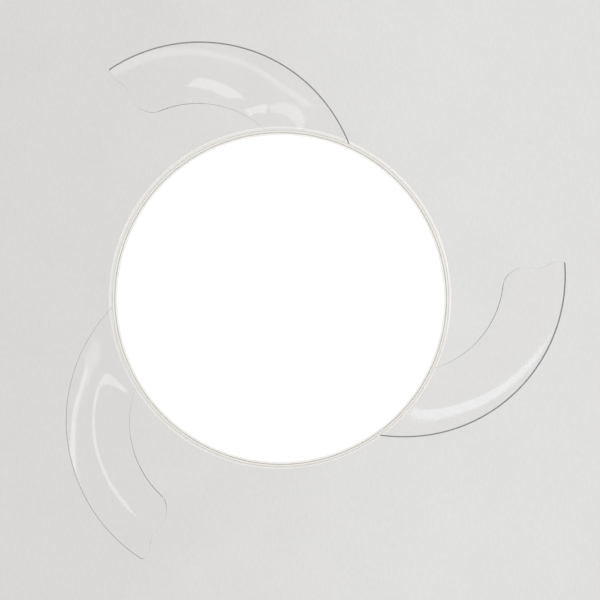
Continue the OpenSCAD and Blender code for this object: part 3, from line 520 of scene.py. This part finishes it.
# lengths in mm; bearings in degrees round the axis of the closed blade; places across its width from 0 to 1
blade = {"pivot": 157.5, "inner": 155.0, "outer": 258.7, "thick": 2.6, "top": 111.3, "openTurn": 78,
         "extraTurn": (0, 0, 6), "root": 7.5, "rootCorner": 12.5, "rootCornerFrom": 0.45, "sweep": 120.5,
         "horn": 2.4, "hornSpan": (0.58, 0.90), "tipRound": 0.9, "tipRoundFrom": 0.88,
         "hollow": 0.7, "hollowSpan": (0.12, 0.60), "heel": 9, "heelTo": 0.3, "flatTo": 24, "fullFrom": 58,
         "ridge": 0.64, "innerDrop": 22, "innerCurve": 1.5, "outerDrop": 5, "outerCurve": 1.8,
         "washOut": 0.6, "lengthSteps": 150, "widthSteps": 60, "edge": 1.28, "edgeSteps": 4, "rimAngle": 55,
         "edgeBand": 3, "endBand": 14, "heelBand": 8, "creaseAngle": 60,
         "paintedRimBand": (1.4, 1.4, 0.9)}  # the third rim catches more light


def share(x, start, end):  # how far x has come from start to end, 0 to 1
    return max(0.0, min(1.0, (x - start) / (end - start)))


def smooth(x):
    return x ** 2 * (3 - 2 * x)


def corner(x):  # the fall of a quarter circle
    return 1 - math.sqrt(1 - x ** 2)


def bladePoint(along, across):  # shares of the length and of the width, 0 to 1
    start = blade["root"] + blade["rootCorner"] * corner(share(across, blade["rootCornerFrom"], 1))
    end = (blade["sweep"] + blade["horn"] * smooth(share(across, *blade["hornSpan"]))
           - blade["tipRound"] * corner(share(across, blade["tipRoundFrom"], 1))
           + blade["hollow"] * math.sin(math.pi * share(across, *blade["hollowSpan"]))
           - blade["heel"] * corner(share(across, blade["heelTo"], 0)))
    bearing = start + along * (end - start)
    washed = 1 - blade["washOut"] * smooth(share(bearing, blade["flatTo"], blade["sweep"]))
    droop = (blade["innerDrop"] * share(across, blade["ridge"], 0) ** blade["innerCurve"]
             + blade["outerDrop"] * share(across, blade["ridge"], 1) ** blade["outerCurve"] * washed)
    depth = blade["top"] + smooth(share(bearing, blade["flatTo"], blade["fullFrom"])) * droop
    radius = blade["inner"] + across * (blade["outer"] - blade["inner"])
    turn = math.radians(bearing)
    return Vector((radius * math.sin(turn), radius * math.cos(turn), -depth)) * mm


def aboutAxis(degrees):
    return Matrix.Rotation(math.radians(degrees), 4, "Z")


def atBlade(number):  # from the closed circle to where the blade stands
    pivot = Matrix.Translation((0, blade["pivot"] * mm, 0))
    swing = aboutAxis(blade["openTurn"] + blade["extraTurn"][number - 1])
    return aboutAxis(120 * (number - 1)) @ pivot @ swing @ pivot.inverted()


def edgeMaterial(middle, bevelled, paintedRimBand):  # 0 face, 1 outer rim painted dark, 2 end painted grey, 3 inner edge
    reach = middle.xy.length / mm
    atEnd = math.degrees(math.atan2(middle.x, middle.y)) > blade["sweep"] - blade["endBand"]
    rimBand = blade["edgeBand"] if bevelled else paintedRimBand
    if reach > blade["outer"] - rimBand:
        return 1
    if not bevelled:
        return 0
    if atEnd and reach > blade["inner"] + blade["heelBand"]:
        return 2
    if atEnd or reach < blade["inner"] + blade["edgeBand"]:
        return 3
    return 0


for number in (1, 2, 3):
    bm = bmesh.new()
    bmesh.ops.create_grid(bm, x_segments=blade["lengthSteps"], y_segments=blade["widthSteps"], size=0.5)
    for vert in bm.verts:
        vert.co = bladePoint(vert.co.x + 0.5, vert.co.y + 0.5)
    lower = bmesh.ops.extrude_face_region(bm, geom=bm.faces[:])["geom"]
    bmesh.ops.translate(bm, verts=[g for g in lower if isinstance(g, bmesh.types.BMVert)],
                        vec=(0, 0, -blade["thick"] * mm))
    bmesh.ops.recalc_face_normals(bm, faces=bm.faces)
    rims = [edge for edge in bm.edges if edge.calc_face_angle(0) > math.radians(blade["rimAngle"])]
    rounded = bmesh.ops.bevel(bm, geom=rims, offset=blade["edge"] * mm, offset_type="OFFSET",
                              affect="EDGES", segments=blade["edgeSteps"], profile=0.5, material=-1,
                              clamp_overlap=True)["faces"]
    bevelled = set(rounded)
    # painted reflection: outer rims get the dark edge finish and ends the grey one
    for face in bm.faces:
        face.material_index = edgeMaterial(face.calc_center_median(), face in bevelled,
                                           blade["paintedRimBand"][number - 1])
    bmesh.ops.transform(bm, matrix=atBlade(number), verts=bm.verts)
    bmesh.ops.recalc_face_normals(bm, faces=bm.faces)
    sheet = addPiece(f"clearBlade_{number}", bm, f"blade_unit_{number}", (f"blade_{number}",),
                     blade["creaseAngle"], (acrylicEdgePaintedDark, acrylicEndPaintedGrey, acrylicInner))
    sheet.visible_shadow = False  # clear acrylic passes the light on
    sheet.visible_diffuse = False
print("blades made")

# what shows in the gap between housing and lamp and above the housing, with the width of its edges in mm
edgeBreaks = {
    "ceiling_bracket": 0.5, "terminal_block": 0.4, "receiver_box": 0.9, "hollow_shaft": 0.3,
    "shaft_nuts": 0.5, "canopy_screws": 0.4, "housing_screws": 0.4, "rotor_shell": 0.8, "rotor_cap": 0.6,
    "carrier_plate": 0.4, "carrier_screws": 0.4, "ring_collar": 0.3, "ring_keeper": 0.25,
    "keeper_screws": 0.3, "pivot_pins": 0.4, "pin_clips": 0.15, "cover_plate": 0.4, "cover_posts": 0.4,
    "cover_screws": 0.4, "stack_spacers": 0.3, "lamp_nut": 0.5, "driver_box": 0.9, "sync_ring": 0.15}
bladeUnitBreaks = {"blade_arm": 0.2, "pivot_bush": 0.25, "blade_clamp": 0.5, "blade_screws": 0.4}
for number in (1, 2, 3):
    edgeBreaks.update({f"{piece}_{number}": width for piece, width in bladeUnitBreaks.items()})
for nodeName, width in edgeBreaks.items():
    easedCopy(nodeName, width)
print("edges broken on", len(edgeBreaks), "nodes")

# the coil runs up from its foot to the leg; footBend has steps in bearing and depth, legBend in radius
# and bearing
spring = {"radius": 12, "wire": 0.8, "wireSteps": 3, "turns": 4, "pitch": 2.5, "top": 118.3, "foot": 140.2,
          "leg": 228.37, "legTo": 23.5, "legBend": ((0.9, -0.6), (2.4, 0)), "coilShort": 4,
          "footShort": 8, "footBend": ((0, 2.6), (2, 1.0)), "stepsPerTurn": 28}


def springPath():
    radius, leg, top = spring["radius"], spring["leg"], spring["top"]
    windings, climb = 360 * spring["turns"], spring["pitch"] * spring["turns"]
    coilFrom, coilUnder = leg - windings - spring["coilShort"], top + climb
    footAt = coilFrom - spring["footShort"]
    count = spring["stepsPerTurn"] * spring["turns"]
    path = [(radius, footAt, spring["foot"])]
    path += [(radius, footAt + turn, coilUnder + below) for turn, below in spring["footBend"]]
    path += [(radius, coilFrom + windings * i / count, coilUnder - climb * i / count)
             for i in range(count + 1)]
    path += [(radius + out, leg + turn, top) for out, turn in spring["legBend"]]
    path.append((spring["legTo"], leg, top))
    return [Vector((r * math.cos(math.radians(a)), r * math.sin(math.radians(a)), -d)) * mm
            for r, a, d in path]


bm = bmesh.new()
for number in (1, 2, 3):
    line = bpy.data.curves.new("springLine", "CURVE")
    line.dimensions = "3D"
    line.bevel_depth = spring["wire"] * mm
    line.bevel_resolution = spring["wireSteps"]
    line.use_fill_caps = True
    spline = line.splines.new("POLY")
    points = springPath()
    spline.points.add(len(points) - 1)
    for point, place in zip(spline.points, points):
        point.co = (*place, 1)
    shaper = bpy.data.objects.new("springLine", line)
    tube = bpy.data.meshes.new_from_object(shaper)
    toPivot = aboutAxis(90 + 120 * (number - 1)) @ Matrix.Translation((blade["pivot"] * mm, 0, 0))
    tube.transform(toPivot @ aboutAxis(blade["extraTurn"][number - 1]))
    bm.from_mesh(tube)
    bpy.data.objects.remove(shaper)
closeShell(bm)
addPiece("returnSprings", bm, "rotor", ("return_springs",))
print("springs wound")

# metres; the two washes are painted light on the ceiling, darker at the left of the picture and lighter at
# the right
stage = {"pictureRight": (-0.984, 0.179, 0), "ceilingSize": 12, "ceilingAt": 0.0006, "floorSize": 90,
         "floorAt": -2.45, "floorTone": 0.93, "pale": 0.73, "ambient": 1.0, "bounce": 1.0,
         "washFrom": -0.5, "washTo": 0.35, "shadedLeftTone": (0.695, 0.683, 0.675),
         "litRightTone": (0.748, 0.745, 0.735), "darkGrain": 0.92, "lightGrain": 1.08, "panelsAt": -2.3}
right = Vector(stage["pictureRight"]).normalized()
up = Vector((right.y, -right.x, 0))
pictureAxes = Matrix((right, up, Vector((0, 0, -1)))).transposed()
lookingRays = ("Is Camera Ray", "Is Glossy Ray", "Is Transmission Ray")


def pictureSpot(acrossView, upView, height):  # right and up in the picture, and height from the ceiling
    return right * acrossView + up * upView + Vector((0, 0, height))


def grey(level):
    return (level, level, level)


def stagePlane(name, size, height, faceDown, material):
    bm = bmesh.new()
    bmesh.ops.create_grid(bm, x_segments=1, y_segments=1, size=size / 2,
                          matrix=Matrix.Translation((0, 0, height)))
    if faceDown:
        bmesh.ops.reverse_faces(bm, faces=bm.faces)
    mesh = bpy.data.meshes.new(name)
    bm.to_mesh(mesh)
    bm.free()
    mesh.materials.append(material)
    plane = bpy.data.objects.new(name, mesh)
    scene.collection.objects.link(plane)


# the ceiling shows its plaster to the camera, to glass and to gloss, lights the fan evenly, and is clear
# from above
ceiling = Finish("ceilingWash", grey(stage["pale"]), 1)
across = ceiling.node("ShaderNodeVectorMath", {"operation": "DOT_PRODUCT"}, {0: ceiling.place, 1: right},
                      "Value")
plaster = ceiling.noise(5, 3, ceiling.stretched(1, 0.45, 1)) * 0.6 + ceiling.noise(130, 2) * 0.4
grain = ceiling.blend(plaster, grey(stage["darkGrain"]), grey(stage["lightGrain"]))
# painted light: the ceiling is darker at the left of the picture and lighter at the right
wash = ceiling.blend(across.between(stage["washFrom"], stage["washTo"]), stage["shadedLeftTone"],
                     stage["litRightTone"])
plastered = ceiling.node("ShaderNodeMix", {"data_type": "RGBA", "blend_type": "MULTIPLY"},
                         {0: 1.0, 6: wash, 7: grain}, 2)
lit = ceiling.node("ShaderNodeEmission", None, {"Color": grey(stage["bounce"]), "Strength": 1.0})
shown = ceiling.node("ShaderNodeEmission", None, {"Color": plastered, "Strength": 1.0})
below = ceiling.mixed(ceiling.seenBy(*lookingRays), lit, shown)
fromAbove = ceiling.node("ShaderNodeNewGeometry", output="Backfacing")
ceiling.plug(ceiling.tree.nodes["Material Output"], "Surface",
             ceiling.mixed(fromAbove, below, ceiling.node("ShaderNodeBsdfTransparent")))
stagePlane("ceilingPlane", stage["ceilingSize"], stage["ceilingAt"], True, ceiling.material)

# the floor throws the light back as white, and shows as the ceiling's pale grey
floor = Finish("paleFloor", grey(stage["floorTone"]), 0.9)
floor.tint(floor.noise(400, 2), 0.01)
mirrored = floor.node("ShaderNodeEmission", None, {"Color": grey(stage["pale"]), "Strength": 1.0})
viewed = floor.node("ShaderNodeBsdfDiffuse", None, {"Color": grey(stage["pale"])})
direct = floor.mixed(floor.seenBy("Is Camera Ray", "Is Transmission Ray"),
                     Wire(floor.shader.outputs[0], floor), viewed)
floor.plug(floor.tree.nodes["Material Output"], "Surface",
           floor.mixed(floor.seenBy("Is Glossy Ray"), direct, mirrored))
stagePlane("floorPlane", stage["floorSize"], stage["floorAt"], False, floor.material)

world = bpy.data.worlds.new("softRoom")
scene.world = world
world.use_nodes = True
sky = Board(world.node_tree)
skyLight = sky.tree.nodes["Background"]
sky.plug(skyLight, "Color", grey(stage["ambient"]))
skySeen = sky.node("ShaderNodeBackground", None, {"Color": grey(stage["pale"])})
skyMix = sky.mixed(sky.seenBy(*lookingRays), Wire(skyLight.outputs[0], sky), skySeen)
sky.plug(sky.tree.nodes["World Output"], "Surface", skyMix)


def areaLamp(name, width, length, radiance, tone, place):
    lamp = bpy.data.lights.new(name, "AREA")
    lamp.shape = "RECTANGLE"
    lamp.size = width
    lamp.size_y = length
    lamp.color = tone
    lamp.energy = radiance * math.pi * width * length
    holder = bpy.data.objects.new(name, lamp)
    scene.collection.objects.link(holder)
    holder.matrix_world = place
    holder.visible_camera = False
    return holder


def softBox(name, acrossView, upView, width, length, turn, radiance, tone):
    # a soft panel lying below the fan and facing up
    facing = pictureAxes @ Matrix.Rotation(math.radians(turn), 3, "Z")
    spot = Matrix.Translation(pictureSpot(acrossView, upView, stage["panelsAt"]))
    areaLamp(name, width, length, radiance, tone, spot @ facing.to_4x4())


# a highlight in the blades from each: across and up, width and length in metres, turn in degrees, radiance
white = (1, 1, 1)
softBoxes = {
    "bladeStrip_1": (-0.23, 0.61, 0.52, 0.12, 0, 0.75, white),
    "bladeStripEnd_1": (-0.12, 0.67, 0.26, 0.13, 25, 0.4, white),
    "bladeStrip_2": (0.625, -0.32, 0.15, 0.68, 0, 1.6, (0.90, 0.92, 1)),
    "bladeStrip_3": (-0.28, -0.49, 0.07, 0.30, 48, 1.9, (0.95, 0.97, 1)),
    "bladeStripEnd_3": (-0.48, -0.33, 0.15, 0.26, 50, 0.8, (0.93, 0.95, 1)),
    "farWindow": (0.03, 3.2, 1.3, 0.8, 27, 1.25, (0.95, 0.96, 1)),
    "leftWindow": (-1.43, -0.97, 0.34, 1.5, 0, 1.4, white),
    "crossWindow": (-1.83, 0.43, 0.30, 1.6, 40, 1.3, white),
    "rootStrip": (0.80, 1.35, 0.34, 1.5, -38, 1.0, white),
    "rootStripEnd": (1.42, 3.0, 0.55, 1.7, 0, 1.3, white),
}
for name, panel in softBoxes.items():
    softBox(name, *panel)

# one window stands at the side and faces the fan's middle
sideWindow = {"across": 3.2, "up": 0.5, "height": -0.5, "width": 1.6, "length": 0.6, "radiance": 4.5,
              "fanMiddle": -0.12}
spot = pictureSpot(sideWindow["across"], sideWindow["up"], sideWindow["height"])
facing = (Vector((0, 0, sideWindow["fanMiddle"])) - spot).to_track_quat("-Z", "Y").to_matrix()
holder = areaLamp("rightWindow", sideWindow["width"], sideWindow["length"], sideWindow["radiance"], white,
                  Matrix.Translation(spot) @ facing.to_4x4())
holder.visible_transmission = False  # not seen through a blade either

# metres and degrees, and a focal length in pixels of the photograph
view = {"focalPixels": 874.8, "imageSize": 600, "sensor": 36, "distance": 1.5064, "besideRight": -0.013,
        "besideUp": 0.0165, "lean": 1.5, "swing": 0.55, "shiftAcross": 0.0614, "shiftUp": -0.0605,
        "nearest": 0.05, "farthest": 50}
camera = bpy.data.cameras.new("photoView")
camera.sensor_width = view["sensor"]
camera.lens = view["focalPixels"] * view["sensor"] / view["imageSize"]
camera.shift_x = view["shiftAcross"]
camera.shift_y = view["shiftUp"]
camera.clip_start = view["nearest"]
camera.clip_end = view["farthest"]
eye = bpy.data.objects.new("photoView", camera)
scene.collection.objects.link(eye)
eyeSpot = pictureSpot(view["besideRight"], view["besideUp"], -view["distance"])
swing = Matrix.Rotation(math.radians(view["swing"]), 3, "Y")
lean = Matrix.Rotation(math.radians(view["lean"]), 3, "X")
eye.matrix_world = Matrix.Translation(eyeSpot) @ (pictureAxes @ swing @ lean).to_4x4()
scene.camera = eye
scene.view_settings.view_transform = "Standard"
print("stage set")
